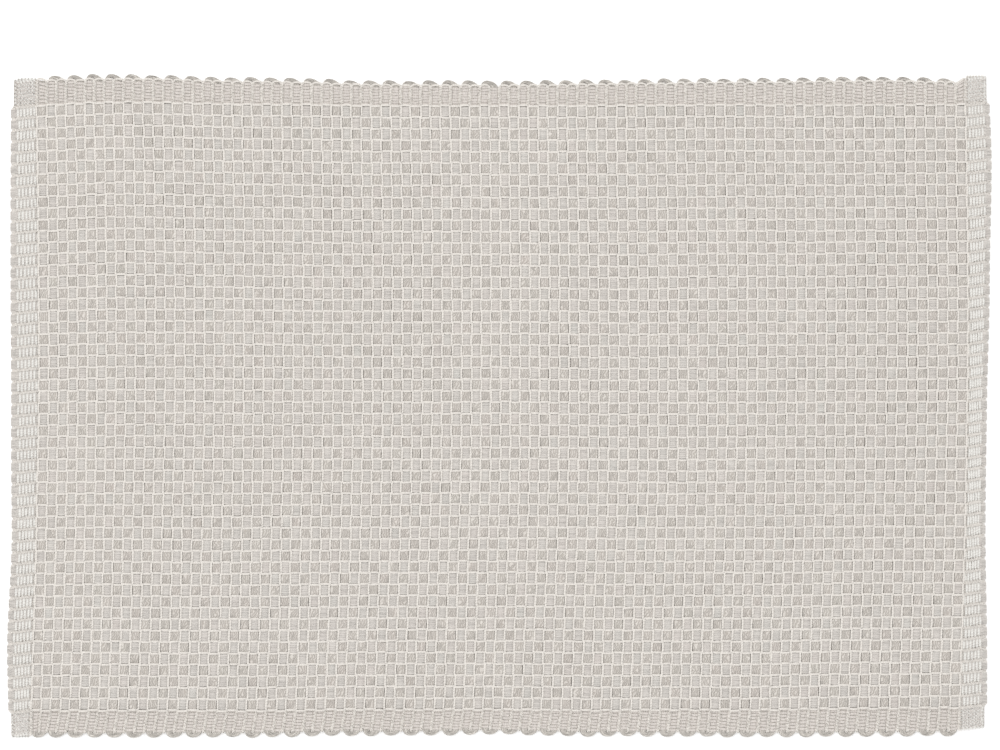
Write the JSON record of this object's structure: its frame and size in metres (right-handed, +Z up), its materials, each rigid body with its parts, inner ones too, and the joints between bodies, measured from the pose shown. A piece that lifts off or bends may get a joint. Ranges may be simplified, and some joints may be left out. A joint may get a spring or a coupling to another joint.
{
  "type": "placemat",
  "caption": "Rectangular woven cotton placemat with a ribbed, checkered face, scalloped long edges and hemmed short ends, lying flat.",
  "frame": {"origin": "bottom centre of the mat's bounding box, on the surface that it lies on", "axes": "+X along the mat's length, +Y across it towards the edge that is away from the viewer in the picture, +Z up out of its face"},
  "size_m": [0.4794, 0.3236, 0.0032],
  "materials": {
    "cotton": "matte woven cotton"
  },
  "bodies": {
    "root": {"placemat_cloth": "cotton"}
  },
  "joints": []
}
